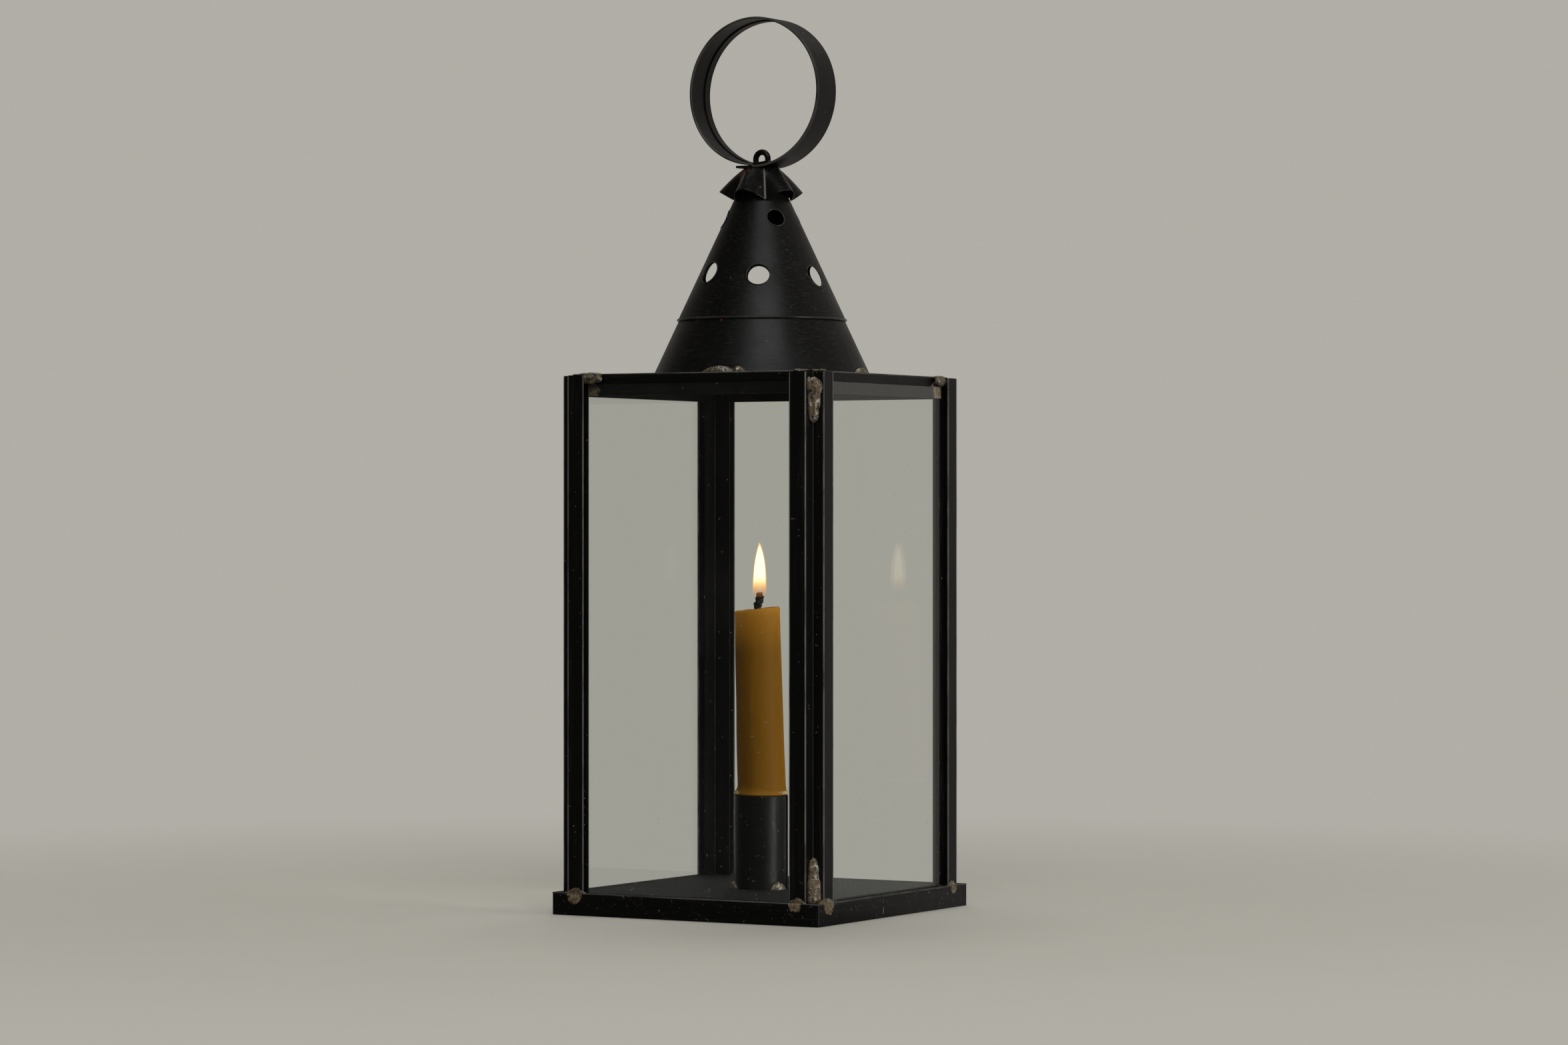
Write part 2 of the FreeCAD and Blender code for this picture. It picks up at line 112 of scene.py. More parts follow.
def vec(tree, operation, first, second=None):
    """Result of a Vector Math node, whose second input is a vector or, for SCALE, a number."""
    inputs = {0: first}
    if second is not None:
        inputs["Scale" if operation == "SCALE" else 1] = second
    result = "Value" if operation in ("DOT_PRODUCT", "LENGTH", "DISTANCE") else "Vector"
    return put(tree, "ShaderNodeVectorMath", inputs, operation=operation).outputs[result]


def ease(tree, value, low, high, to_low=0.0, to_high=1.0):
    """Smooth change from to_low, where value is low, to to_high, where it is high."""
    inputs = {"Value": value, "From Min": low, "From Max": high, "To Min": to_low, "To Max": to_high}
    return put(tree, "ShaderNodeMapRange", inputs, interpolation_type="SMOOTHSTEP").outputs["Result"]


def tint(tree, share, colour, other):
    """Colour that goes to the other one where share is 1."""
    return put(tree, "ShaderNodeMix", {0: share, 6: colour, 7: other}, data_type="RGBA").outputs[2]


def blend(tree, share, low, high):
    """Number that goes from low to high as share goes from 0 to 1."""
    return calc(tree, "MULTIPLY_ADD", share, calc(tree, "SUBTRACT", high, low), low)


print("words for sums ready")

# %% Words for finishes
def place_mm(tree):
    """Place on the piece, in millimetres of the lantern's frame."""
    place = put(tree, "ShaderNodeTexCoord").outputs["Object"]
    return vec(tree, "SCALE", place, 1000.0)


def grain(tree, place, scale, detail=3.0, rough=0.55):
    """Noise of that many waves per millimetre."""
    inputs = {"Vector": place, "Scale": scale, "Detail": detail, "Roughness": rough}
    return put(tree, "ShaderNodeTexNoise", inputs).outputs["Fac"]


def height_mm(tree, place):
    """Height of a place."""
    return put(tree, "ShaderNodeSeparateXYZ", {0: place}).outputs["Z"]


def bump(tree, height, distance, strength, normal=None):
    """Normal that is dented by a height, over a distance in metres."""
    inputs = {"Height": height, "Distance": distance, "Strength": strength}
    if normal is not None:
        inputs["Normal"] = normal
    return put(tree, "ShaderNodeBump", inputs).outputs[0]


def new_finish(name):
    """Material with one Principled shader."""
    material = bpy.data.materials.new(name)
    material.use_nodes = True
    tree = material.node_tree
    shader = next(node for node in tree.nodes if node.type == "BSDF_PRINCIPLED")
    return material, tree, shader


def feed(tree, shader, **inputs):
    """Link or set a shader's inputs, named with _ for spaces."""
    for key, value in inputs.items():
        give(tree, shader.inputs[key.replace("_", " ")], value)


def show(tree, surface):
    """Make a mix of shaders the surface of a material."""
    output = next(node for node in tree.nodes if node.type == "OUTPUT_MATERIAL")
    tree.links.new(surface.outputs[0], output.inputs["Surface"])


print("words for finishes ready")

# %% Words for meshes and Geometry Nodes
def placed(name, data):
    """New object in the scene."""
    piece = bpy.data.objects.new(name, data)
    scene.collection.objects.link(piece)
    return piece


def mesh_of(bm, name):
    """Mesh that was drawn in a bmesh, which is freed."""
    mesh = bpy.data.meshes.new(name)
    bm.to_mesh(mesh)
    bm.free()
    return mesh


def geo(tree, kind, inputs=None, **settings):
    """First output of a new Geometry Node."""
    return put(tree, "GeometryNode" + kind, inputs, **settings).outputs[0]


def new_tree(name, *sizes):
    """Geometry node tree with one input for geometry and a number for each named size."""
    tree = bpy.data.node_groups.new(name, "GeometryNodeTree")
    tree.interface.new_socket("Geometry", in_out="INPUT", socket_type="NodeSocketGeometry")
    tree.interface.new_socket("Geometry", in_out="OUTPUT", socket_type="NodeSocketGeometry")
    for size in sizes:
        tree.interface.new_socket(size, in_out="INPUT", socket_type="NodeSocketFloat")
    return tree, tree.nodes.new("NodeGroupInput").outputs


def end_tree(tree, geometry, finish):
    """Make instances real, shade them smooth, give them a finish and hand them out."""
    real = geo(tree, "RealizeInstances", {0: geometry})
    smooth = geo(tree, "SetShadeSmooth", {0: real})
    painted = geo(tree, "SetMaterial", {0: smooth, "Material": finish})
    put(tree, "NodeGroupOutput", {0: painted})
    return tree


def grown(name, start, *steps):
    """Plain mesh that comes out of a row of modifiers, each a tree or a kind with its values."""
    piece = placed(name, start)
    for step, values in steps:
        kind = step if isinstance(step, str) else "NODES"
        modifier = piece.modifiers.new(kind.lower(), kind)
        if kind == "NODES":
            modifier.node_group = step
            sockets = {item.name: item.identifier for item in step.interface.items_tree}
            for key, value in values.items():
                modifier[sockets[key]] = value
        else:
            for key, value in values.items():
                setattr(modifier, key, value)
    graph = bpy.context.evaluated_depsgraph_get()
    mesh = bpy.data.meshes.new_from_object(piece.evaluated_get(graph))
    piece.modifiers.clear()
    piece.data = mesh
    print(name, len(mesh.polygons), "faces")
    return piece


print("words for meshes and Geometry Nodes ready")

# %% [markdown]
# ## Studio
# Black paint shows mostly what it mirrors, so the studio matters as much as the paint. A pale surround
# gives the folds something to mirror, and one softbox high beside the camera draws the soft upright
# highlight on the cone. In mirrors the surround is dimmer behind the camera, as in a room with one pale
# wall: so the front pane stays clear, while the right one, which mirrors the pale side, looks milky.
# The floor is a wide disc that melts into the surround, so that no horizon line crosses the glass.

# %% Surround and softboxes
SURROUND = (0.44, 0.425, 0.385)
AMBIENT = 0.62  # share of the surround's light that falls on surfaces
DIM_SIDE = 0.06  # share of it that mirrors show behind the camera
BRIGHT_SIDE = 0.62  # share of it that mirrors show on the pale side
AIM = Vector((0, 0, 0.2))  # point that the softboxes face


def around(radius, turn, z=0.0):
    """Point at a turn about the upright axis."""
    return Vector((radius * cos(turn), radius * sin(turn), z))


PALE_SIDE = around(1.0, radians(85))


def surround_level(tree, way):
    """Level of the surround in a direction, and shares of rays that see it straight and in mirrors."""
    rays = put(tree, "ShaderNodeLightPath").outputs
    mirrored = calc(tree, "MINIMUM", rays["Glossy Depth"], 1.0)
    bounced = calc(tree, "MINIMUM", calc(tree, "ADD", rays["Glossy Depth"], rays["Diffuse Depth"]), 1.0)
    through = times(tree, rays["Is Transmission Ray"], calc(tree, "SUBTRACT", 1.0, bounced))
    straight = calc(tree, "MAXIMUM", rays["Is Camera Ray"], through)
    in_glass = times(tree, rays["Is Transmission Ray"], mirrored)
    in_mirror = calc(tree, "MAXIMUM", rays["Is Glossy Ray"], in_glass)
    pale = vec(tree, "DOT_PRODUCT", way, PALE_SIDE)
    level = blend(tree, in_mirror, AMBIENT, ease(tree, pale, -0.4, 0.8, DIM_SIDE, BRIGHT_SIDE))
    return blend(tree, straight, level, 1.0), straight, in_mirror


world = bpy.data.worlds.new("studio")
scene.world = world
world.use_nodes = True
sky = world.node_tree
level = surround_level(sky, put(sky, "ShaderNodeTexCoord").outputs["Generated"])[0]
background = next(node for node in sky.nodes if node.type == "BACKGROUND")
feed(sky, background, Color=SURROUND, Strength=level)


def softbox(name, turn, rise, far, width, height, power):
    """Area lamp aimed at the lantern, turned to the camera's right and raised by degrees."""
    turn = radians(turn) + CAMERA_TURN - pi / 2
    rise = radians(rise)
    way = around(cos(rise), turn, sin(rise))
    data = bpy.data.lights.new(name, "AREA")
    data.shape = "RECTANGLE"
    data.size, data.size_y, data.energy = width, height, power
    lamp = placed(name, data)
    lamp.location = way * far + AIM
    lamp.rotation_euler = way.to_track_quat("Z", "Y").to_euler()
    lamp.visible_camera = False


softbox("key_softbox", 6, 46, 2.4, 1.5, 1.1, 18)
softbox("side_softbox", 58, 6, 2.6, 0.7, 1.0, 22)
softbox("top_softbox", 180, 68, 2.4, 1.2, 1.2, 12)

# %% Floor
FLOOR = (0.6, 0.58, 0.525)
FLOOR_RADIUS = 9.0
FLOOR_LEVEL = -0.0002  # just under the base, so that the two do not flicker
FADE = (0.16, 0.85)  # distances between which the floor melts into the surround

disc = bmesh.new()
bmesh.ops.create_circle(disc, cap_ends=True, radius=FLOOR_RADIUS, segments=96)
bmesh.ops.translate(disc, verts=disc.verts, vec=(0, 0, FLOOR_LEVEL))
floor = placed("floor", mesh_of(disc, "floor"))
paper, tree, shader = new_finish("pale_floor")
spot = put(tree, "ShaderNodeTexCoord").outputs["Object"]
away = vec(tree, "LENGTH", spot)
mottle = grain(tree, place_mm(tree), 0.02)
feed(tree, shader, Base_Color=tint(tree, mottle, FLOOR, tuple(0.95 * c for c in FLOOR)), Roughness=0.75,
     Specular_IOR_Level=0.2)
way = vec(tree, "NORMALIZE", spot)
level, straight, in_mirror = surround_level(tree, way)
glow = put(tree, "ShaderNodeEmission", {"Color": SURROUND, "Strength": level})
melt = calc(tree, "MAXIMUM", times(tree, ease(tree, away, *FADE), straight), in_mirror)
show(tree, put(tree, "ShaderNodeMixShader", {0: melt, 1: shader.outputs[0], 2: glow.outputs[0]}))
floor.data.materials.append(paper)
print("floor radius", FLOOR_RADIUS, "m")

# %% [markdown]
# ## Black paint on tin
# The sheet is tinned iron under a thin coat of black paint. The paint is satin, a little wavy where the
# sheet is, and it has fine scratches in the direction in which each piece was rolled or drawn, specks
# of lint, and dust that settles on what faces up. One picture texture could hold all that, but a
# procedural finish stays sharp close up and needs no picture. Streaks are noise that is squeezed across
# the scratches and drawn out along them. On the roof they run round the axis, so there the noise reads
# the direction from the axis instead of x and y.

# %% Colours of the tin
PAINT = (0.0042, 0.004, 0.0038)
SCUFF = (0.034, 0.0325, 0.031)
# rubbed tin of edges, made light enough to be a painted highlight on the folds as well
WORN_AND_HIGHLIGHT = (0.19, 0.185, 0.175)
DUST = (0.26, 0.24, 0.205)
RUST = (0.115, 0.038, 0.014)
SOLDER = (0.34, 0.315, 0.26)
SPILT_SOLDER = (0.19, 0.165, 0.12)
FLUX = (0.1, 0.066, 0.027)
SOOT = (0.03, 0.024, 0.016)
FLUTES = 5  # ridges of the cap
FIRST_RIDGE = radians(-17.4)
print("paint", PAINT, "scuffed to", SCUFF, "and worn to", WORN_AND_HIGHLIGHT)

# %% Marks on the paint
def specks(tree, place, spacing, size, share):
    """Sparse specks: about one cell in share of that spacing holds a speck of that size, in millimetres."""
    cells = put(tree, "ShaderNodeTexVoronoi", {"Vector": place, "Scale": 1.0 / spacing})
    chance = put(tree, "ShaderNodeSeparateColor", {0: cells.outputs["Color"]}).outputs
    keep = calc(tree, "LESS_THAN", chance[0], share)
    reach = times(tree, chance[1], size / spacing)
    inside = calc(tree, "LESS_THAN", cells.outputs["Distance"], reach)
    return times(tree, keep, inside)


def hairs(tree, place, scale, wide, amount):
    """Thin curved lines, where smooth noise crosses its middle, broken into short pieces by other noise."""
    line = calc(tree, "COMPARE", grain(tree, place, scale, 0.0), 0.5, wide)
    return times(tree, line, calc(tree, "GREATER_THAN", grain(tree, place, 2.3 * scale, 1.0), 1.0 - amount))


def facing_up(tree):
    """1 on surfaces that face up, 0 on upright ones."""
    normal = put(tree, "ShaderNodeTexCoord").outputs["Normal"]
    return ease(tree, height_mm(tree, normal), 0.35, 0.95)


def near(tree, place, spots):
    """1 at any of the spots, each given as (x, y, z, radius) in millimetres, and 0 beyond its radius."""
    share = None
    for x, y, z, radius in spots:
        gap = vec(tree, "DISTANCE", place, (x, y, z))
        part = ease(tree, gap, radius, radius * 0.3)
        share = part if share is None else calc(tree, "MAXIMUM", share, part)
    return share


def drawn(tree, place, stretch, round_axis):
    """Coordinates that are squeezed and drawn out for streaks."""
    if round_axis:
        flat = vec(tree, "MULTIPLY", place, (1, 1, 0))
        way = vec(tree, "NORMALIZE", flat)
        level = vec(tree, "MULTIPLY", place, (0, 0, stretch[2]))
        wide = vec(tree, "SCALE", way, stretch[0])
        return vec(tree, "ADD", wide, level)
    return vec(tree, "MULTIPLY", place, stretch)


def crease(tree, place):
    """1 along the valleys of the cap, below its flat top, where a highlight is painted."""
    x, y, z = put(tree, "ShaderNodeSeparateXYZ", {0: place}).outputs
    turn = calc(tree, "SUBTRACT", calc(tree, "ARCTAN2", y, x), FIRST_RIDGE)
    flute = calc(tree, "COSINE", times(tree, turn, FLUTES))
    return times(tree, ease(tree, flute, -0.97, -1.0), ease(tree, z, 372.2, 371.4))


print("marks ready")

# %% Black paint
def tin_paint(name, stretch, round_axis=False, scuffed=0.5, rusty=(), splashed=(), wear_and_highlight=0.0, crease_highlight=False,
              shine=0.0, dusty=0.06, linty=0.28, gritty=0.2):
    """Satin black paint with streaks along one direction."""
    material, tree, shader = new_finish(name)
    here = place_mm(tree)
    lines = grain(tree, drawn(tree, here, stretch, round_axis), 1.0, 4.0, 0.7)
    scratch = times(tree, ease(tree, lines, 0.52, 0.74), scuffed)
    cloud = grain(tree, here, 0.045, 3.0)
    grit = specks(tree, here, 3.2, 0.24 + 0.5 * gritty, gritty)
    fine = times(tree, specks(tree, here, 1.2, 0.36, 0.3), facing_up(tree))
    grit = calc(tree, "MAXIMUM", grit, times(tree, fine, 0.7))
    lint = calc(tree, "MAXIMUM", grit, hairs(tree, here, 0.24, 0.009, linty))
    settled = times(tree, facing_up(tree), ease(tree, grain(tree, here, 0.35, 4.0), 0.45, 0.8, 0.0, dusty))
    colour = tint(tree, times(tree, scratch, 0.7), PAINT, SCUFF)
    colour = tint(tree, settled, colour, DUST)
    satin = ease(tree, cloud, 0.3, 0.7, 0.33 - shine, 0.42 - shine)
    dull = calc(tree, "ADD", satin, times(tree, scratch, 0.16))
    dull = calc(tree, "MAXIMUM", dull, times(tree, facing_up(tree), 0.7))
    # Partly real wear, partly painted highlight: rubbed tin, lightened to stand in for the line of light on
    # a fold.
    if wear_and_highlight:
        rubbed_and_highlit = ease(tree, grain(tree, here, 0.05, 3.0), 0.3, 0.6, 0.35 * wear_and_highlight, wear_and_highlight)
        colour = tint(tree, rubbed_and_highlit, colour, WORN_AND_HIGHLIGHT)
    # Painted highlight: a light line along each valley of the cap.
    if crease_highlight:
        colour = tint(tree, times(tree, crease(tree, here), 0.5), colour, WORN_AND_HIGHLIGHT)
    if rusty:
        bloom = times(tree, near(tree, here, rusty), ease(tree, grain(tree, here, 0.8, 4.0), 0.44, 0.6))
        colour = tint(tree, bloom, colour, RUST)
        dull = calc(tree, "ADD", dull, times(tree, bloom, 0.35))
    if splashed:
        patch = times(tree, near(tree, here, splashed), grain(tree, here, 0.5, 4.0))
        splash = ease(tree, patch, 0.26, 0.36)
        spilt = tint(tree, ease(tree, grain(tree, here, 0.9), 0.35, 0.6), SPILT_SOLDER, FLUX)
        colour = tint(tree, splash, colour, spilt)
        dull = calc(tree, "ADD", dull, times(tree, splash, 0.2))
    colour = tint(tree, times(tree, lint, 0.6), colour, DUST)
    dull = calc(tree, "MAXIMUM", dull, times(tree, calc(tree, "MAXIMUM", lint, settled), 0.8))
    wave = bump(tree, grain(tree, here, 0.03, 1.0), 0.0004, 0.4)
    peel = bump(tree, calc(tree, "ADD", grain(tree, here, 1.1, 2.0), scratch), 0.00002, 0.6, wave)
    feed(tree, shader, Base_Color=colour, Roughness=dull, Normal=peel, Specular_IOR_Level=0.22)
    return material


print("paint ready")

# %% Paint of each piece
roof_paint = tin_paint("roof_paint", (8.0, 0.0, 2.6), True, 1.0, [
    (-31, -29, 295.3, 3), (-26, -34, 295.3, 2.4), (-14, -40, 295.3, 2.6), (2, -42.5, 295.3, 2)])
cap_paint = tin_paint("cap_paint", (0.3, 0.3, 0.3), scuffed=0.4, crease_highlight=True, shine=0.1,
                      rusty=[(-5, -7, 371.5, 7), (-2, -9, 371, 4)])
post_paint = tin_paint("post_paint", (0.6, 0.6, 0.015), scuffed=0.35)
base_splashes = [(63, -76, 10, 6), (76, -66, 10, 8), (-63, -76, 10, 7), (76, 62, 10, 5)]
base_paint = tin_paint("base_paint", (0.03, 0.03, 1.2), scuffed=0.45, splashed=base_splashes, linty=0.4,
                       gritty=0.5)
plate_paint = tin_paint("plate_paint", (0.05, 0.05, 1.0), scuffed=0.4,
                        splashed=[(-57, -69, 259, 8), (69, 56, 260, 9), (66, -64, 268, 7)])
# The bead paints are lighter where rubbed: partly worn tin, partly a painted highlight along the folds.
edge_paint = tin_paint("edge_paint", (0.4, 0.4, 0.1), scuffed=1.0, wear_and_highlight=0.6, shine=0.12)
ledge_paint = tin_paint("ledge_paint", (0.4, 0.4, 0.1), scuffed=1.0, splashed=base_splashes, wear_and_highlight=0.35,
                        shine=0.12)
rim_paint = tin_paint("rim_paint", (0.4, 0.4, 0.1), scuffed=0.6, wear_and_highlight=0.12, shine=0.15)
strap_paint = tin_paint("strap_paint", (0.4, 0.4, 0.1), scuffed=0.8, wear_and_highlight=0.32, shine=0.15)
ring_paint = tin_paint("ring_paint", (0.05, 0.9, 0.05), scuffed=0.5,
                       rusty=[(-9, 0, 373, 5), (-8, 8, 447, 8)])
socket_paint = tin_paint("socket_paint", (2.0, 0.0, 1.2), True, 0.2)


def wear(finish, *names):
    """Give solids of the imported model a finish."""
    for name in names:
        solids[name].material_slots[0].material = finish


posts = [name for name in solids if name.endswith("_channel")]
wear(roof_paint, "roof_band", "roof_cone")
wear(cap_paint, "vent_cap")
wear(post_paint, *posts, "corner_seams")
wear(base_paint, "base_tray")
wear(plate_paint, "top_plate")
wear(ring_paint, "ring_handle", "handle_staple")
wear(socket_paint, "candle_socket")
print("painted", len(posts) + 9, "solids")

# %% [markdown]
# ## Window glass
# The panes are plain window glass, faintly green through their cut edges, with dust, a few specks and a
# smudge where a hand lifted them. Principled glass bends and mirrors light as a real pane does.

# %% Window glass
GLASS = (0.955, 0.968, 0.95)
CUT_EDGE = (0.42, 0.58, 0.48)
FILM = (0.8, 0.78, 0.7)


def window_glass():
    """Clear glass under a faint film, with lint."""
    material, tree, shader = new_finish("window_glass")
    here = place_mm(tree)
    edge = facing_up(tree)
    feed(tree, shader, Base_Color=tint(tree, edge, GLASS, CUT_EDGE), Roughness=0.0, IOR=1.5,
         Transmission_Weight=1.0)
    wipe = vec(tree, "MULTIPLY", here, (0.05, 0.05, 0.02))
    smear = ease(tree, grain(tree, wipe, 1.0, 4.0, 0.6), 0.45, 0.8, 0.0, 0.004)
    mist = ease(tree, grain(tree, here, 1.6, 3.0), 0.5, 0.8, 0.0, 0.0015)
    low = ease(tree, height_mm(tree, here), 110.0, 15.0, 0.1, 0.5)
    threads = times(tree, hairs(tree, here, 0.22, 0.006, 0.3), low)
    lint = calc(tree, "MAXIMUM", threads, times(tree, specks(tree, here, 3.0, 0.22, 0.25), 0.6))
    film = calc(tree, "MAXIMUM", calc(tree, "ADD", smear, mist), lint)
    dust = put(tree, "ShaderNodeBsdfDiffuse", {"Color": FILM, "Roughness": 0.5})
    dusty = put(tree, "ShaderNodeMixShader", {0: film, 1: shader.outputs[0], 2: dust.outputs[0]})
    clear = put(tree, "ShaderNodeBsdfTransparent", {"Color": GLASS})
    shade = put(tree, "ShaderNodeLightPath").outputs["Is Shadow Ray"]
    show(tree, put(tree, "ShaderNodeMixShader", {0: shade, 1: dusty.outputs[0], 2: clear.outputs[0]}))
    return material


glass = window_glass()
panes = [name for name in solids if name.endswith("_pane")]
wear(glass, *panes)
print("glazed", len(panes), "panes")

# %% [markdown]
# ## Solder
# The tinsmith joined the sheets with soft solder and left it as it flowed: grey and lumpy, with a brown
# crust of flux. Here it is a rough metal whose colour changes with noise.

# %% Solder finish
def solder_finish():
    """Dull metal where it is clean, and brown or sooty where flux burnt on it."""
    material, tree, shader = new_finish("soft_solder")
    here = place_mm(tree)
    crust = ease(tree, grain(tree, here, 0.3, 4.0), 0.42, 0.54)
    dark = ease(tree, grain(tree, here, 0.7, 3.0), 0.52, 0.62)
    colour = tint(tree, dark, tint(tree, crust, SOLDER, FLUX), SOOT)
    metal = ease(tree, calc(tree, "MAXIMUM", crust, dark), 0.1, 0.7, 1.0, 0.0)
    dull = ease(tree, crust, 0.0, 1.0, 0.26, 0.5)
    lumps = bump(tree, grain(tree, here, 1.3, 4.0), 0.0005, 0.8)
    feed(tree, shader, Base_Color=colour, Metallic=metal, Roughness=dull, Normal=lumps)
    return material


solder = solder_finish()
print("solder finish ready")

# %% [markdown]
# ## Beeswax
# The candle is beeswax: amber, a little cloudy, and lit from within near the flame. Wax lets light in
# and scatters it, which subsurface scattering does. The flame's light in the wax is painted: the wax is
# paler near its rim, and under the flame it glows with a faint painted light that fades downwards.

# %% Beeswax finish
WAX = (0.19, 0.08, 0.0025)
PALE_WAX = (0.3, 0.145, 0.014)
CRUMB_WAX = (0.42, 0.29, 0.12)
SCRAPED_WAX = (0.62, 0.52, 0.34)
WAX_TOP = 151.0  # mm


def beeswax(name, deep, clear):
    """Cloudy wax, clearer at the socket's mouth, with painted flame light: paler at its rim and glowing
    under the flame.
    """
    material, tree, shader = new_finish(name)
    here = place_mm(tree)
    height = height_mm(tree, here)
    run = vec(tree, "MULTIPLY", here, (0.12, 0.12, 0.015))
    cloud = ease(tree, grain(tree, run, 1.0, 3.0), 0.35, 0.75, 0.0, 0.18)
    # Painted flame light: the wax is paler near its rim, where the flame lights it.
    rim = ease(tree, height, WAX_TOP - 5, WAX_TOP, 0.0, 0.7)
    mouth = ease(tree, height, 61.5, 58.0, 0.0, 0.6)
    share = calc(tree, "MAXIMUM", calc(tree, "MAXIMUM", cloud, rim), mouth)
    lint = specks(tree, here, 4.0, 0.5, 0.14)
    colour = tint(tree, lint, tint(tree, share, deep, clear), DUST)
    bloom = bump(tree, grain(tree, here, 0.5, 4.0), 0.00015, 0.6)
    # Painted glow: the wax emits a faint orange light under the flame, in place of the flame's light in it.
    painted_flame_glow = ease(tree, height, WAX_TOP - 24, WAX_TOP, 0.0, 0.10)
    feed(tree, shader, Base_Color=colour, Roughness=0.5, Specular_IOR_Level=0.06, Subsurface_Weight=0.45,
         Subsurface_Radius=(1.0, 0.45, 0.1), Subsurface_Scale=0.004, Normal=bloom,
         Emission_Color=(1.0, 0.42, 0.05), Emission_Strength=painted_flame_glow)
    return material


wax = beeswax("beeswax", WAX, PALE_WAX)
scraped = beeswax("scraped_wax", CRUMB_WAX, SCRAPED_WAX)
charred = tin_paint("charred_wick", (0.5, 0.5, 0.5), scuffed=0.2)
print("wax and wick finishes ready")

# %% [markdown]
# ## Fluted cap
# The cap is a round of tin, crimped with pliers into five flutes: between two ridges the sheet is
# pressed down on the cone, so the valleys hang lower than the ridges. Its shape follows a rule, so
# Geometry Nodes draw it: a grid whose one direction is the turn about the axis and whose other is the
# way from the middle to the edge. A power of a cosine makes sharp valleys and round ridges, and a slow
# wave presses the flutes at the front closer to the cone. Solidify gives the sheet its thickness.

# %% Fluted cap
CAP = {"Top": 372.4, "Flat radius": 8.5, "First ridge": FIRST_RIDGE, "Ridge reach": 13.5,
       "Ridge fall": 11.4, "Valley reach": 6.7, "Valley fall": 16.4, "Unevenness": 0.9,
       "Pressed side": radians(-58), "Sharpness": 0.68}
CAP_SHEET = 0.6  # mm
FLAT_SHARE = 0.2  # share of the grid's rows on the flat top


def cap_tree(finish):
    """Tree that bends a grid into the fluted cap."""
    tree, size = new_tree("fluted_cap", *CAP)
    inputs = {"Size X": 1.0, "Size Y": 1.0, "Vertices X": 48 * FLUTES + 1, "Vertices Y": 41}
    grid = geo(tree, "MeshGrid", inputs)
    here = geo(tree, "InputPosition")
    spot = put(tree, "ShaderNodeSeparateXYZ", {0: here}).outputs
    turn = calc(tree, "MULTIPLY_ADD", spot["X"], tau, pi)
    way = calc(tree, "ADD", spot["Y"], 0.5)
    flat = calc(tree, "MINIMUM", calc(tree, "DIVIDE", way, FLAT_SHARE), 1.0)
    beyond = calc(tree, "DIVIDE", calc(tree, "SUBTRACT", way, FLAT_SHARE), 1 - FLAT_SHARE)
    skirt = calc(tree, "MAXIMUM", beyond, 0.0)
    flute = calc(tree, "COSINE", times(tree, calc(tree, "SUBTRACT", turn, size["First ridge"]), FLUTES))
    wave = calc(tree, "MAXIMUM", calc(tree, "MULTIPLY_ADD", flute, 0.5, 0.5), 0.0)
    swing = calc(tree, "POWER", wave, size["Sharpness"])
    slow = calc(tree, "ADD", calc(tree, "COSINE", calc(tree, "SUBTRACT", turn, size["Pressed side"])), 0.3)
    uneven = times(tree, times(tree, slow, size["Unevenness"]), swing)

    def between(valley, ridge, share):
        """Size between a valley's and a ridge's, with a share of the unevenness."""
        gap = calc(tree, "SUBTRACT", size[ridge], size[valley])
        low = calc(tree, "MULTIPLY_ADD", uneven, share, size[valley])
        return calc(tree, "MULTIPLY_ADD", gap, swing, low)

    reach = times(tree, between("Valley reach", "Ridge reach", -1.6), calc(tree, "POWER", skirt, 0.92))
    fall = times(tree, between("Valley fall", "Ridge fall", 0.4), calc(tree, "POWER", skirt, 1.14))
    radius = calc(tree, "MULTIPLY_ADD", flat, size["Flat radius"], reach)
    point = put(tree, "ShaderNodeCombineXYZ", {
        "X": times(tree, radius, calc(tree, "COSINE", turn)),
        "Y": times(tree, radius, calc(tree, "SINE", turn)),
        "Z": calc(tree, "SUBTRACT", size["Top"], fall),
    }).outputs[0]
    metres = vec(tree, "SCALE", point, MM)
    bent = geo(tree, "SetPosition", {"Geometry": grid, "Position": metres})
    closed = geo(tree, "MergeByDistance", {"Geometry": bent, "Distance": 1e-6})
    outward = geo(tree, "FlipFaces", {0: closed})
    return end_tree(tree, outward, finish)


cap = grown("fluted_cap", bpy.data.meshes.new("fluted_cap"), (cap_tree(cap_paint), CAP),
            ("SOLIDIFY", {"thickness": CAP_SHEET * MM, "offset": -1.0}))
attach(cap, "lantern")
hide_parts("vent_cap")

# %% [markdown]
# ## Rolled edges
# Sheet metal has no sharp edges: where it is folded, hemmed or punched, the edge is round, rubs bright
# and draws a thin line of light. The solids are sharp there, so a thin round bead lies along each fold,
# half sunk in the sheet. Each bead is a line of points with a thickness, and Geometry Nodes sweep a
# circle along it: one rule for the channels, the base, the top plate, the seam of the roof, the vents
# and the strap. The beads' paint is lighter than the sheet's, partly as rubbed tin and partly as a
# painted highlight.

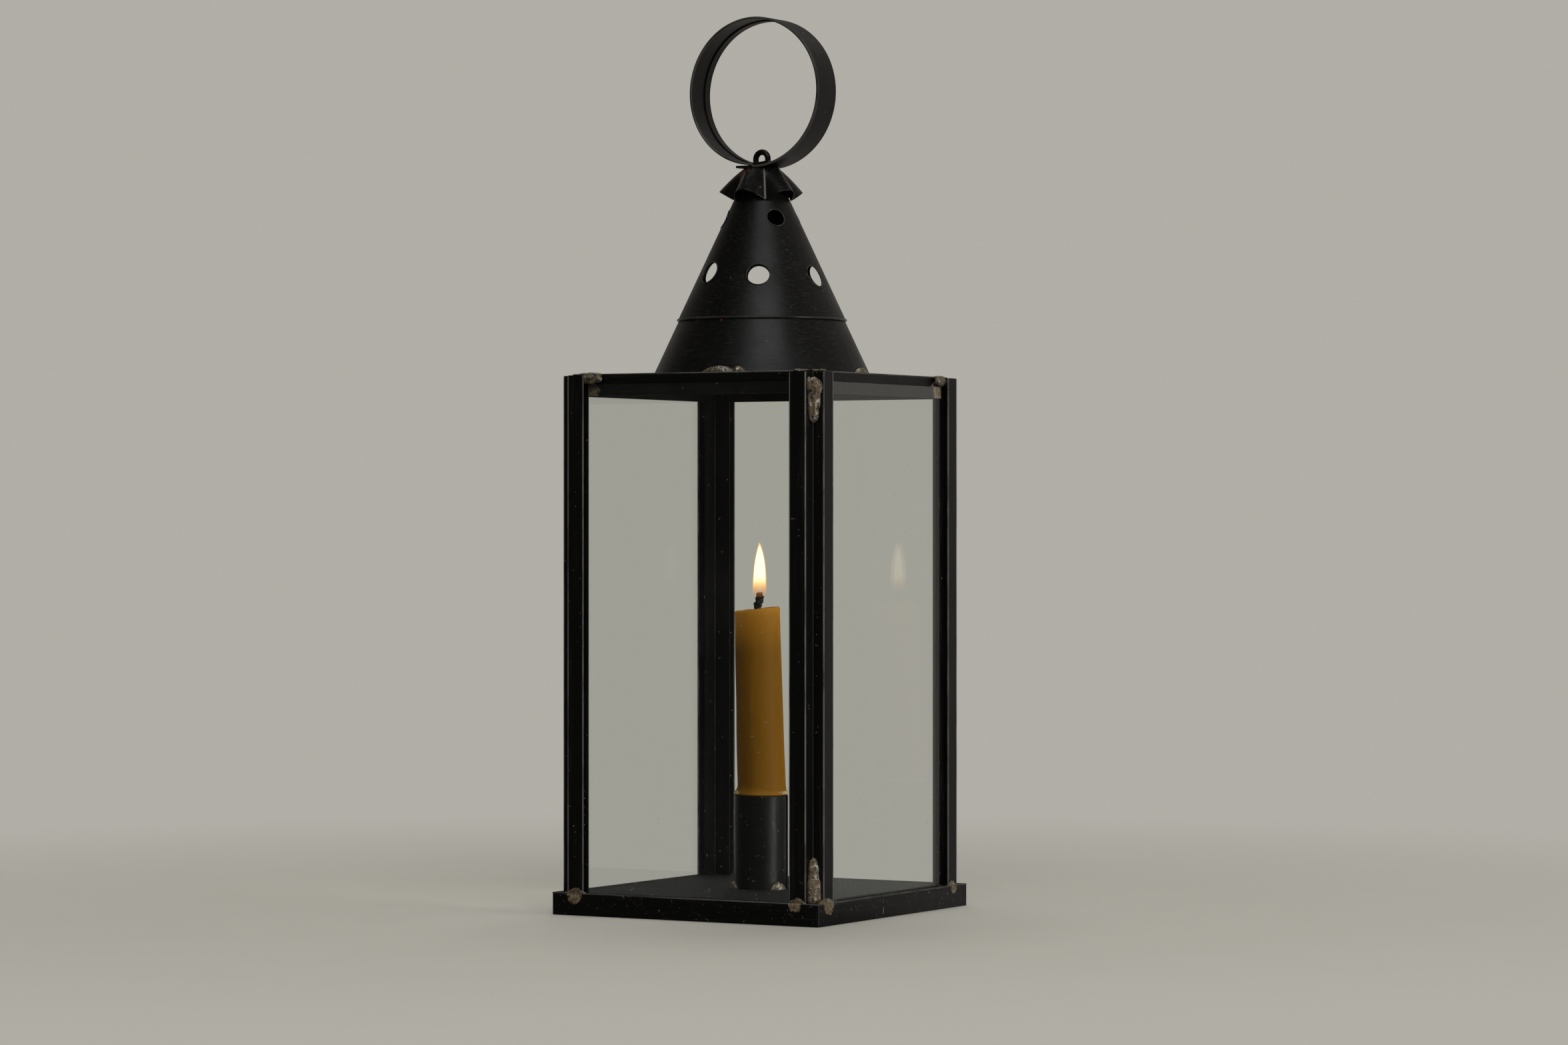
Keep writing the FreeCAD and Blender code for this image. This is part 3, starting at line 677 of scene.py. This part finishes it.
# %% Lines of the edges
FLANGE = (58.9, 68.1)  # mm from the middle to both edges of a channel
FACE = 74.6  # mm from the middle to the face of a channel
ROOF_TAPER = 0.4667
ROOF_ANGLE = atan(ROOF_TAPER)
ROOF_FOOT = (54.6, 268.1)  # radius and height of the foot of the cone
ROOF_SHEET = 0.66  # sheet of the cone, measured level
SEAM = 295.8  # height of the lap of the cone over its band
LOWER_VENTS = ((-116.2, 319.2), (-62.9, 317.6), (-4.4, 317.4), (58.4, 319.0), (123.3, 319.9),
               (175.8, 320.9))
UPPER_VENTS = ((-145.9, 346.7), (-37.7, 346.7), (52.3, 346.7), (142.3, 346.7))
VENT_RADII = (5.9, 4.7)  # of a lower and of an upper vent
CHANNEL_ENDS = (11.2, 267.3)  # heights
FOLD_SUNK = 0.32  # middle of a bead inside the sharp edge of a fold
BASE_EDGE = (75.78, 10.62)  # half side and height of the bead on the base
PLATE_EDGE = (68.35, 267.82)
STRAP_SIDES = (-8.6, 8.6)  # both edges of the strap
STRAP_RIGHT = (37.2, 410.2)  # radius of the ring's right half, and height of its middle
STRAP_LEFT = (36.6, 410.8)
BEADS = {"fold": 0.42, "plate": 0.4, "seam": 0.62, "vent": 0.36, "strap": 0.6}


def roof_reach(z):
    """Radius of the outside of the cone."""
    return ROOF_FOOT[0] - (z - ROOF_FOOT[1]) * ROOF_TAPER + ROOF_SHEET


def circle(radius, z, count=160):
    """Points of a level circle."""
    return [around(radius, tau * i / count, z) for i in range(count)]


def square(half, z):
    """Corners of a level square."""
    return [(half, -half, z), (half, half, z), (-half, half, z), (-half, -half, z)]


def vent_rim(turn, z, radius, count=48):
    """Edge of a hole that is punched square to the cone."""
    turn = radians(turn)
    out = around(cos(ROOF_ANGLE), turn, sin(ROOF_ANGLE))
    side = Vector((-sin(turn), cos(turn), 0))
    up = out.cross(side)
    middle = around(roof_reach(z), turn, z)
    rim = []
    for i in range(count):
        angle = tau * i / count
        point = middle + (side * cos(angle) + up * sin(angle)) * radius
        for _ in range(4):
            point += out * ((roof_reach(point.z) - point.xy.length) * cos(ROOF_ANGLE))
        rim.append(point)
    return rim


def strap_edge(y, count=90):
    """Edge of the strap, whose left half is bent a little tighter than its right half."""
    right = [(*STRAP_RIGHT, -pi / 2 + pi * i / count) for i in range(count)]
    left = [(*STRAP_LEFT, pi / 2 + pi * i / count) for i in range(count)]
    return [(radius * cos(a), y, middle + radius * sin(a)) for radius, middle, a in right + left]


def edge_mesh(name, lines):
    """Mesh of edges alone, from (points, closed, thickness) in millimetres."""
    points, edges, thick = [], [], []
    for line, closed, size in lines:
        first = len(points)
        points += [Vector(p) * MM for p in line]
        edges += [(first + i, first + i + 1) for i in range(len(line) - 1)]
        edges += [(len(points) - 1, first)] if closed else []
        thick += [size * MM] * len(line)
    mesh = bpy.data.meshes.new(name)
    mesh.from_pydata(points, edges, [])
    mesh.attributes.new("thick", "FLOAT", "POINT").data.foreach_set("value", thick)
    return mesh


def written(tree, name, kind):
    """Attribute that was written on the points."""
    return geo(tree, "InputNamedAttribute", {"Name": name}, data_type=kind)


def swept(tree, path, sides, radius, thick):
    """Round bar along a path, with a share of its radius at each point."""
    ring = geo(tree, "CurvePrimitiveCircle", {"Resolution": sides, "Radius": radius})
    inputs = {"Curve": path, "Profile Curve": ring, "Scale": thick, "Fill Caps": True}
    return geo(tree, "CurveToMesh", inputs)


def bead_tree(finish):
    """Tree that sweeps a bead along each line."""
    tree, size = new_tree("rolled_edges", "Sides")
    path = geo(tree, "MeshToCurve", {0: size["Geometry"]})
    bead = swept(tree, path, size["Sides"], 1.0, written(tree, "thick", "FLOAT"))
    return end_tree(tree, bead, finish)


fold_lines = []
for quarter in range(4):
    for x in FLANGE:
        inset = FOLD_SUNK if x == FLANGE[0] else -FOLD_SUNK
        for sign in (1, -1):
            ends = [Vector((sign * (x + inset), FOLD_SUNK - FACE, z)) for z in CHANNEL_ENDS]
            turn = Matrix.Rotation(quarter * pi / 2, 3, "Z")
            fold_lines.append(([turn @ end for end in ends], False, BEADS["fold"]))
plate_lines = [(square(*edge), True, BEADS["plate"]) for edge in (BASE_EDGE, PLATE_EDGE)]
roof_lines = [(circle(roof_reach(SEAM) - 0.16, SEAM + 0.25), True, BEADS["seam"])]
for vents, radius in zip((LOWER_VENTS, UPPER_VENTS), VENT_RADII):
    roof_lines += [(vent_rim(turn, z, radius), True, BEADS["vent"]) for turn, z in vents]
strap_lines = [(strap_edge(y), True, BEADS["strap"]) for y in STRAP_SIDES]
print("lines", len(fold_lines), len(plate_lines), len(roof_lines), len(strap_lines))

# %% Sweep the edges
edges = {"channel_folds": (fold_lines, edge_paint), "plate_edges": (plate_lines, ledge_paint),
         "roof_edges": (roof_lines, rim_paint), "strap_edges": (strap_lines, strap_paint)}
for name, (lines, finish) in edges.items():
    piece = grown(name, edge_mesh(name, lines), (bead_tree(finish), {"Sides": 10.0}))
    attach(piece, "lantern")

# %% [markdown]
# ## Candle
# A dipped candle is nearly a turned shape: a stick that tapers a little, pushed into the socket until
# warm wax rose round it as a collar. Its rim melts unevenly, so one side stands higher, and a shallow
# pool surrounds the wick. A lathe of rings makes the skin, and each point is moved a little by smooth
# noise, by the tilt of the rim and by the lean of the stick, which the collar does not share.

# %% Candle
LEAN = tan(radians(1.4))
LEAN_WAY = around(1.0, radians(210))
LEAN_PIVOT = 77.5  # mm
VIEW_RIGHT = around(1.0, CAMERA_TURN)


def lathe(name, profile, count, shaped, finish):
    """Closed skin from rows of (radius, height, share of the lean); the first and last rows are points."""
    bm = bmesh.new()
    rings = []
    for radius, height, lean in profile:
        turns = range(count) if radius > 0 else range(1)
        rings.append([bm.verts.new(shaped(radius, tau * i / count, height, lean) * MM) for i in turns])
    for low, high in zip(rings, rings[1:]):
        for i in range(count):
            j = (i + 1) % count
            corners = [low[i % len(low)], low[j % len(low)], high[j % len(high)], high[i % len(high)]]
            bm.faces.new(list(dict.fromkeys(corners)))
    bmesh.ops.recalc_face_normals(bm, faces=bm.faces)
    mesh = mesh_of(bm, name)
    mesh.shade_smooth()
    mesh.materials.append(finish)
    print(name, len(mesh.polygons), "faces")
    return placed(name, mesh)


def on_candle(radius, turn, height, lean):
    """Point of the leaning candle, with its uneven rim and skin."""
    out = around(1.0, turn)
    skin = 0.22 * noise.noise(out * 1.1 + Vector((0, 0, height * 0.03)))
    skin += 0.07 * noise.noise(out * 5.0 + Vector((3, 0, height * 0.1)))
    melt = min(max((height - 140.0) / 10.0, 0.0), 1.0)
    tilt = 0.105 * radius * out.dot(VIEW_RIGHT) + 0.35 * noise.noise(out * 2.2 + Vector((7, 1, 0)))
    point = out * (radius + skin * min(radius / 10.0, 1.0)) + Vector((0, 0, height + melt * tilt))
    return point + LEAN_WAY * (LEAN * (height - LEAN_PIVOT) * lean)


foot_rows = [(0, 11.7, 1), (9.6, 11.7, 1), (10.3, 12.4, 1), (10.3, 57.0, 1), (10.6, 57.85, 0.5)]
collar_rows = [(13.2, 57.85, 0), (13.5, 58.2, 0), (13.45, 58.8, 0), (13.0, 59.5, 0.2), (12.5, 60.6, 0.6),
               (12.1, 62.2, 1)]
stick_rows = [(12.05 - 0.65 * i / 40, 64.0 + 83.0 * i / 40, 1) for i in range(41)]
rim_rows = [(11.4, 149.0, 1), (11.55, 150.0, 1), (11.3, 150.8, 1), (10.7, 151.2, 1), (9.8, 151.0, 1),
            (8.4, 150.3, 1), (6.4, 149.8, 1), (4.0, 149.5, 1), (1.6, 149.4, 1), (0, 149.4, 1)]
candle = lathe("dipped_candle", foot_rows + collar_rows + stick_rows + rim_rows, 96, on_candle, wax)
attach(candle, "candle")
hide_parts("candle")

# %% [markdown]
# ## Crumbs of wax
# Small crumbs and drips of pale wax lie on the collar, where the candle was scraped against the socket.
# They are many and alike, so Geometry Nodes scatter small lumps on the collar, each with its own size,
# from a fixed seed.

# %% Crumbs of wax
CRUMBS = {"Per square metre": 1.1e6, "Smallest": 0.2 * MM, "Largest": 0.65 * MM}
COLLAR_BAND = ((13.45, 58.5), (12.75, 60.0))  # radius and height of both edges, mm
CRUMBS_RIGHT = 0.15  # crumbs lie beyond this, where the silhouette's right edge is at 0.22
CRUMBS_LEFT = -0.19


def crumb_tree(finish):
    """Tree that scatters crumbs on a surface."""
    tree, size = new_tree("wax_crumbs", *CRUMBS)
    inputs = {"Mesh": size["Geometry"], "Density": size["Per square metre"], "Seed": 5}
    spots = put(tree, "GeometryNodeDistributePointsOnFaces", inputs).outputs
    lump = geo(tree, "MeshIcoSphere", {"Radius": 1.0, "Subdivisions": 2})
    sizes = {2: size["Smallest"], 3: size["Largest"], "Seed": 9}
    large = put(tree, "FunctionNodeRandomValue", sizes, data_type="FLOAT").outputs[1]
    inputs = {"Points": spots["Points"], "Instance": lump, "Rotation": spots["Rotation"], "Scale": large}
    return end_tree(tree, geo(tree, "InstanceOnPoints", inputs), finish)


def collar_band():
    """Parts of a narrow band on the collar, to the right of the view and to its left."""
    bm = bmesh.new()
    rows = [[bm.verts.new(around(radius, tau * i / 72, z) * MM) for radius, z in COLLAR_BAND]
            for i in range(72)]
    for i, row in enumerate(rows):
        after = rows[(i + 1) % len(rows)]
        side = row[0].co.normalized().dot(VIEW_RIGHT)
        if side > CRUMBS_RIGHT or side < CRUMBS_LEFT:
            bm.faces.new((row[0], after[0], after[1], row[1]))
    return mesh_of(bm, "collar_band")


crumbs = grown("wax_crumbs", collar_band(), (crumb_tree(scraped), CRUMBS))
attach(crumbs, "candle")

# %% [markdown]
# ## Wick
# The wick is braided cotton, charred and bent over at its end. Three strands that wind about one bent
# line show the braid. Geometry Nodes draw each strand as a curve, swell it with noise where the char
# crumbles, and sweep a circle along it.

# %% Wick
WICK = {"Foot": 147.0, "Rise": 12.4, "Strand": 1.2, "Winding": 0.75, "Turns": 1.7, "Bend": 1.8}


def wick_tree(finish):
    """Tree that winds three strands about a bent line."""
    tree, size = new_tree("braided_wick", *WICK)
    line = geo(tree, "CurvePrimitiveLine", {"Start": (0, 0, 0), "End": (0, 0, 1)})
    fine = geo(tree, "ResampleCurve", {"Curve": line, "Count": 48})
    along = put(tree, "GeometryNodeSplineParameter").outputs["Factor"]
    join = put(tree, "GeometryNodeJoinGeometry")
    bend = times(tree, calc(tree, "POWER", along, 1.8), size["Bend"])
    height = calc(tree, "MULTIPLY_ADD", along, size["Rise"], size["Foot"])
    shift = times(tree, calc(tree, "SUBTRACT", height, LEAN_PIVOT), LEAN)
    for strand in range(3):
        whole = times(tree, size["Turns"], tau)
        turn = calc(tree, "MULTIPLY_ADD", along, whole, tau * strand / 3)
        flat = []
        for wave, right, lean in (("COSINE", VIEW_RIGHT.x, LEAN_WAY.x), ("SINE", VIEW_RIGHT.y, LEAN_WAY.y)):
            swing = times(tree, calc(tree, wave, turn), size["Winding"])
            bent = calc(tree, "MULTIPLY_ADD", bend, right, swing)
            flat.append(calc(tree, "ADD", bent, times(tree, shift, lean)))
        point = put(tree, "ShaderNodeCombineXYZ", {"X": flat[0], "Y": flat[1], "Z": height}).outputs[0]
        rough = grain(tree, point, 0.95, 2.0, 0.5)
        taper = ease(tree, along, 1.0, 0.88, 0.35, 1.0)
        thick = times(tree, calc(tree, "MULTIPLY_ADD", rough, 2.6, -0.3), times(tree, taper, MM))
        metres = vec(tree, "SCALE", point, MM)
        wound = geo(tree, "SetPosition", {"Geometry": fine, "Position": metres})
        tree.links.new(swept(tree, wound, 12, size["Strand"], thick), join.inputs[0])
    return end_tree(tree, join.outputs[0], finish)


wick = grown("braided_wick", bpy.data.meshes.new("braided_wick"), (wick_tree(charred), WICK))
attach(wick, "candle")
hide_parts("wick")

# %% [markdown]
# ## Flame
# A still candle flame is a drop of light: nearly white in its middle, yellow and then orange towards
# its skin, and clear round the wick, where the vapour has not yet burnt. A volume could glow like that,
# but two thin skins, one inside the other, that emit light and let light through, look the same and can
# be exported.

# %% Flame
FLAME_MIDDLE = VIEW_RIGHT * -0.6


def on_flame(radius, turn, height, lean):
    """Point of the flame, moved sideways by its lean in millimetres."""
    out = around(1.0, turn)
    return out * radius + Vector((0, 0, height)) + FLAME_MIDDLE + VIEW_RIGHT * lean


def flame_finish(name, low, high, levels, share):
    """Light of a colour that changes with height, whose share of the skin goes from none to share."""
    material, tree, shader = new_finish(name)
    tree.nodes.remove(shader)
    flicker = grain(tree, place_mm(tree), 0.25, 2.0)
    level = calc(tree, "MULTIPLY_ADD", flicker, 1.5, height_mm(tree, place_mm(tree)))
    colour = tint(tree, ease(tree, level, *levels), low, high)
    light = put(tree, "ShaderNodeEmission", {"Color": colour, "Strength": 1.0})
    clear = put(tree, "ShaderNodeBsdfTransparent")
    lit = ease(tree, level, levels[0] - 1.5, levels[1] - 1.0, 0.0, share)
    show(tree, put(tree, "ShaderNodeMixShader", {0: lit, 1: clear.outputs[0], 2: light.outputs[0]}))
    return material


skin_rows = [(0, 156.6, 0), (1.8, 156.7, 0), (3.0, 157.6, -0.1), (3.5, 160.5, -0.1), (3.4, 164.7, 0),
             (3.2, 168.8, 0.05), (2.85, 172.9, 0.1), (2.25, 177.1, 0.1), (1.25, 181.2, 0.05),
             (0.5, 183.5, 0.0), (0, 184.5, 0.0)]
core_rows = [(0.86 * r, 160.5 + 0.81 * (z - 156.6), s) for r, z, s in skin_rows]
skin_light = flame_finish("flame_skin", (1.0, 0.36, 0.08), (1.6, 0.9, 0.26), (157.5, 167.0), 0.42)
core_light = flame_finish("flame_core", (1.3, 0.72, 0.26), (2.2, 2.0, 1.5), (162.5, 169.0), 1.0)
flame_skin = lathe("flame_skin", skin_rows, 48, on_flame, skin_light)
flame_core = lathe("flame_core", core_rows, 48, on_flame, core_light)
for part in (flame_skin, flame_core):
    part.modifiers.new("round", "SUBSURF").levels = 2
    part.modifiers["round"].render_levels = 2
    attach(part, "candle")

# %% [markdown]
# ## Solder
# Solder is laid on by the drop: each touch of the iron leaves a lump that runs into the last. So each
# joint here is a row of drops of tin, listed by place and size. Geometry Nodes set a ball at every
# drop, a voxel remesh melts the balls into one skin, and a second tree crumples that skin with noise. A
# carved lump would hold more surprise, but a row of drops is how the real one was made.

# %% Melting drops together
VOXEL = 0.36 * MM
CRUST = {"Lump height": 0.6 * MM, "Lump scale": 0.32, "Grit height": 0.3 * MM, "Grit scale": 0.9}


def drop_tree():
    """Tree that sets a ball at each drop."""
    tree, size = new_tree("solder_drops")
    ball = geo(tree, "MeshIcoSphere", {"Radius": 1.0, "Subdivisions": 3})
    spread = written(tree, "spread", "FLOAT_VECTOR")
    inputs = {"Points": size["Geometry"], "Instance": ball, "Scale": spread}
    return end_tree(tree, geo(tree, "InstanceOnPoints", inputs), solder)


def crust_tree():
    """Tree that moves a skin in and out by noise of two scales."""
    tree, size = new_tree("solder_crust", *CRUST)
    spot = geo(tree, "InputPosition")
    here = vec(tree, "SCALE", spot, 1000.0)
    swell = None
    for kind in ("Lump", "Grit"):
        rough = calc(tree, "SUBTRACT", grain(tree, here, size[kind + " scale"], 2.0), 0.5)
        part = times(tree, rough, size[kind + " height"])
        swell = part if swell is None else calc(tree, "ADD", swell, part)
    out = geo(tree, "InputNormal")
    move = vec(tree, "SCALE", out, swell)
    inputs = {"Geometry": size["Geometry"], "Offset": move}
    return end_tree(tree, geo(tree, "SetPosition", inputs), solder)


def drop_mesh(name, drops):
    """Loose points, one for each drop (x, y, z, and half its size in x, y and z) in millimetres."""
    mesh = bpy.data.meshes.new(name)
    mesh.from_pydata([Vector(drop[:3]) * MM for drop in drops], [], [])
    spread = mesh.attributes.new("spread", "FLOAT_VECTOR", "POINT")
    for point, drop in zip(spread.data, drops):
        point.vector = Vector(drop[3:]) * MM
    return mesh


def soldered(name, drops, node):
    """Solder of one group of joints, in place of its solid."""
    remesh = ("REMESH", {"mode": "VOXEL", "voxel_size": VOXEL})
    smooth = ("SMOOTH", {"factor": 0.6, "iterations": 4})
    piece = grown(name, drop_mesh(name, drops), (melt_drops, {}), remesh, smooth, (crumple, CRUST))
    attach(piece, "lantern")
    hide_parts(node)


melt_drops = drop_tree()
crumple = crust_tree()
print("solder melts in cells of", VOXEL, "m")

# %% Solder in the corners
VALLEY = 68.1  # mm from the middle to the notch of a corner
LEDGE = (-74.9, 11.0)  # middle of the base's ledge at the front, and its height
HALF_PATCH = 0.42  # share of a patch's width from its middle to its last drop
DROP_SHARE = 0.16  # share of a patch's width in half a drop
hand = random.Random(11)


def about(value, share=0.15):
    """A value as a hand gives it: about right."""
    return value * (1 + hand.uniform(-share, share))


def quarter_turn(drop, count):
    """The same drop, that many corners further round."""
    x, y, z, wide, deep, high = drop
    for _ in range(count):
        x, y, wide, deep = -y, x, deep, wide
    return x, y, z, wide, deep, high


def notch_run(z_thick, z_thin, thick, thin, count=13):
    """Drops down the notch of the front right corner: a middle row and one on each web."""
    run = []
    for i in range(count):
        t = i / (count - 1)
        z = z_thick + (z_thin - z_thick) * t
        size = about(thick + (thin - thick) * t, 0.07)
        run.append((VALLEY + 0.75 * size, -VALLEY - 0.75 * size, z, size, size, 1.6 * size))
        side = about(0.5 * size, 0.35)
        for x, y in ((0.55 * side, 1.5 * size), (1.5 * size, 0.55 * side)):
            run.append((VALLEY + x, -VALLEY - y, z + hand.uniform(-1.5, 1.5), side, side, 2.4 * side))
    return run


def mound(count=9):
    """Place from -1 to 1 and height from 0 to 1 of each drop in a mound."""
    return [(i / (count - 1) * 2 - 1, 1 - 0.75 * (i / (count - 1) * 2 - 1) ** 2) for i in range(count)]


def ledge_patch(x, width, rise):
    """Drops on the ledge of the base, in front of a front channel."""
    size = width * DROP_SHARE
    drops = []
    for side, high in mound():
        drops.append((x + side * width * HALF_PATCH, *LEDGE, size, 1.05, about(rise * high, 0.15)))
    return drops


base_drops = []
top_drops = []
for corner, amount in enumerate((1.0, 0.7, 0.65, 0.55)):
    base_drops += [quarter_turn(d, corner) for d in notch_run(12.8, 30.5, 2.7 * amount, 1.5 * amount)]
    top_drops += [quarter_turn(d, corner) for d in notch_run(260.0, 245.0, 2.9 * amount, 1.7 * amount)]
base_drops += ledge_patch(63.6, 9.0, 2.6)
base_drops += ledge_patch(-63.0, 11.0, 2.4)
base_drops += [quarter_turn(d, 1) for d in ledge_patch(-66.5, 13.0, 2.8) + ledge_patch(62.0, 8.0, 2.2)]
base_drops += [quarter_turn(d, 2) for d in ledge_patch(60.0, 7.0, 2.0)]
top_drops += [(62.4, y, 267.9, 1.9, 2.2, about(0.9)) for y in (-72.6, -69.8, -66.8, -64.0)]
top_drops += [(x, y, 267.9, 2.3, 1.9, about(0.9)) for x, y in ((65.8, -62.2), (68.8, -63.4), (71.6, -64.6))]
soldered("base_corner_lumps", base_drops, "base_corner_solder")
soldered("top_corner_lumps", top_drops, "top_corner_solder")

# %% Solder on the pane stops, the roof and the socket
PANE_TOP = (-71.2, 265.4)  # y and height of the drops over the front pane's top edge
RIM_TOP = (-70.4, 267.8)  # y and height of those beside it, on the rim
ROOF_TACKS = (54.7, 268.1)  # radius and height of the tacks
SOCKET_TACKS = (13.2, 10.9)


def stop_patch(x, width):
    """Drops over the top edge of the front pane, and beside it on the rim."""
    size = width * DROP_SHARE
    drops = []
    for side, high in mound():
        place = x + side * width * HALF_PATCH
        drops.append((place, *PANE_TOP, size, 1.8, about(1.4 + high, 0.1)))
        drops.append((place, *RIM_TOP, size, 1.7, about(0.5 + 0.5 * high, 0.1)))
    return drops


def foot_tack(radius, level, turn, width, out, high):
    """Drops in an arc at the foot of a round piece."""
    drops = []
    for side, share in mound(13):
        angle = radians(turn) + side * width / 2 / radius
        reach = radius + about(0.3 * out, 0.2)
        size = about(out * (0.4 + 0.6 * share), 0.08)
        drops.append((*around(reach, angle, level + 0.3), size, size, about(high * share, 0.1)))
    return drops


stop_drops = stop_patch(-57.5, 13.0)
stop_drops += [quarter_turn(d, 1) for d in stop_patch(57.0, 8.0)]
stop_drops += [quarter_turn(d, 3) for d in stop_patch(-56.0, 11.0)]
soldered("pane_stop_lumps", stop_drops, "pane_stop_solder")
roof_drops = []
for turn, width in ((-82.0, 17.0), (-71.5, 4.0), (4.0, 12.0), (97.0, 13.0), (187.0, 14.0)):
    roof_drops += foot_tack(*ROOF_TACKS, turn, width, 2.2, 3.2)
soldered("roof_foot_lumps", roof_drops, "roof_solder")
socket_drops = []
for turn in (-20.0, 100.0, 220.0):
    socket_drops += foot_tack(*SOCKET_TACKS, turn, 8.0, 1.7, 3.4)
soldered("socket_foot_lumps", socket_drops, "socket_solder")
